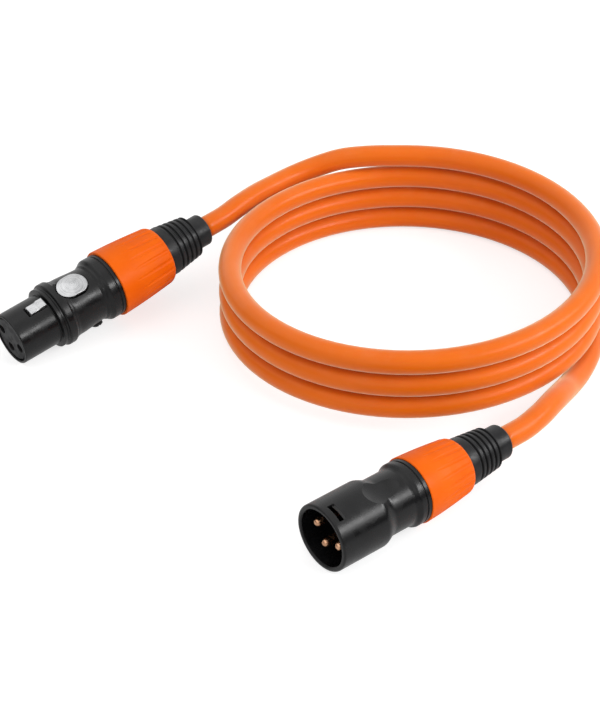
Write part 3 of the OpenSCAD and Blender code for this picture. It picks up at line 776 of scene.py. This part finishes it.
def wire_insulation():
    """Pale insulation of the wires inside the plugs, with draw lines along it."""
    f = Finish("wire insulation")
    lines = f.place(LINES, Vector=f.stretch(f.coords, (60.0, 1800.0, 1800.0)), Spacing=1.0)
    grain = f.place(GRAIN, Grain_Scale=4200.0, Patch_Scale=400.0)
    tone = f.blend(grain["Tone"], (0.72, 0.7, 0.66), (0.84, 0.83, 0.8))
    f.set(
        Base_Color=f.lay(lines["Lines"], 0.25, tone, (0.6, 0.58, 0.55)),
        Roughness=f.span(grain["Gloss"], 0.0, 1.0, 0.38, 0.5),
        Normal=f.bump(lines["Lines"], 0.1, 0.00004),
    )
    return f.material


def dress(finish, *nodes):
    """Gives a finish to CAD pieces through their own material slots."""
    for name in nodes:
        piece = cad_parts[name]
        if not piece.material_slots:
            piece.data.materials.append(finish)
        for place in piece.material_slots:
            place.material = finish


# The middles of the two mating faces, and how far behind them the collars' seams lie
FEMALE_FACE = Vector((-37.487, 62.75, 7.922)) * MM
FEMALE_SEAM = 35 * MM
MALE_FACE = Vector((-24.9, -63.85, 9.5)) * MM
MALE_SEAM = 30.2 * MM

socket_shell = glossy_black_shell(
    "glossy black socket shell", FEMALE_FACE, FEMALE_PITCH, FEMALE_SEAM
)
pin_shell = glossy_black_shell("glossy black pin shell", MALE_FACE, 0.0, MALE_SEAM)
bright_metal = bright_latch()
dress(socket_shell, "female_shell", "female_screw")
dress(pin_shell, "male_shell")
dress(matt_black_insert(), "female_insert", "male_insert", "female_chuck", "male_chuck")
dress(black_rubber_boot(), "female_boot", "male_boot")
dress(bright_orange_collar(), "female_collar", "male_collar")
dress(jacket_tail(), "female_cord_tail", "male_cord_tail")
dress(bright_metal, "female_latch", "female_latch_pin", "female_ground_tag", "male_ground_tag")
dress(plated_contact(), "female_contacts", "male_pins")
dress(wire_insulation(), "female_wires", "male_wires")
latch_spring.data.materials.append(bright_metal)
cord.data.materials.append(orange_jacket())


# ---------------------------------------------------------------- floor, backdrop and light

FLOOR_HALF = 6.0
# The level direction from the camera to the object, where the white backdrop stands
AHEAD = STUDIO_TURN @ Vector((0, 1, 0))
# Where the lamps point, in the middle between the plugs
LAMP_AIM = Vector((0, 0, 0.01))


def by_ray(bench, camera, mirrored, other):
    """A value for what the camera sees, for what gloss and glass show, and for light on things."""
    path = bench.put("ShaderNodeLightPath").outputs
    in_gloss = bench.maths("ADD", path["Is Glossy Ray"], path["Is Transmission Ray"], clamp=True)
    indirect = bench.pick(in_gloss, other, mirrored)
    return bench.pick(path["Is Camera Ray"], indirect, camera)


def make_floor():
    """A wide sheet of white paper that the cable lies on."""
    mesh = bpy.data.meshes.new("floor")
    w = FLOOR_HALF
    mesh.from_pydata([(-w, -w, 0), (w, -w, 0), (w, w, 0), (-w, w, 0)], [], [(0, 1, 2, 3)])
    floor = new_object("floor", mesh)
    paper = bpy.data.materials.new("white paper")
    paper.use_nodes = True
    b = Bench(paper.node_tree)
    b.tree.nodes.clear()
    out = b.put("ShaderNodeOutputMaterial")
    coords = b.put("ShaderNodeTexCoord").outputs["Object"]
    fibre = b.span(b.noise(coords, 900.0, 4.0, 0.6), 0.3, 0.7)
    paleness = b.maths("ADD", by_ray(b, 0.5, 0.4, 0.84), b.times(fibre, 0.02))
    grey = b.put("ShaderNodeCombineXYZ", X=paleness, Y=paleness, Z=paleness)
    sheet = b.put("ShaderNodeBsdfDiffuse", Color=grey)
    lift = b.put("ShaderNodeEmission", Strength=by_ray(b, 0.68, 0.36, 0.0))
    both = b.put("ShaderNodeAddShader")
    b.feed(both, "0", sheet)
    b.feed(both, "1", lift)
    b.feed(out, "Surface", both)
    mesh.materials.append(paper)


def make_sky():
    """A soft white surround, with a darker room at the horizon except behind the object."""
    world = bpy.data.worlds.new("surround")
    bpy.context.scene.world = world
    world.use_nodes = True
    b = Bench(world.node_tree)
    b.tree.nodes.clear()
    out = b.put("ShaderNodeOutputWorld")
    sky = b.put("ShaderNodeBackground", Color=(1, 1, 1, 1))
    way = b.put("ShaderNodeTexCoord").outputs["Generated"]
    rise = b.put("ShaderNodeSeparateXYZ", Vector=way).outputs["Z"]
    above = b.span(rise, 0.2, 0.44, 0.04, 1.0)
    behind = b.span(b.vector("DOT_PRODUCT", way, tuple(AHEAD), "Value"), 0.3, 0.75)
    in_gloss = b.maths("MAXIMUM", above, behind)
    on_things = b.span(rise, 0.0, 0.5, 0.45, 0.74)
    b.feed(sky, "Strength", by_ray(b, 1.0, in_gloss, on_things))
    b.feed(out, "Surface", sky)


def lamp(name, kind, energy, spot, target, **settings):
    """A lamp at a spot, pointing to a target."""
    light = bpy.data.lights.new(name, kind)
    light.energy = energy
    for key, value in settings.items():
        setattr(light, key, value)
    aim(new_object(name, light), spot, Vector(target) - Vector(spot))


def panel(name, watts, right, ahead, up, width, height):
    """A flat lamp to the right of, beyond and above the plugs' middle, as the camera sees it."""
    spot = STUDIO_TURN @ Vector((right, ahead, up)) + LAMP_AIM
    lamp(name, "AREA", watts, spot, LAMP_AIM, shape="RECTANGLE", size=width, size_y=height)


make_floor()
make_sky()
lamp("high sun", "SUN", 0.35, (-0.3, 0.2, 1.0), (0, 0, 0), angle=math.radians(60))
panel("right strip", 5.0, 0.75, -0.22, 0.5, width=0.8, height=0.18)
panel("front fill", 1.2, -0.5, -1.0, 0.35, width=0.9, height=0.6)
bpy.context.scene.view_settings.view_transform = "Standard"
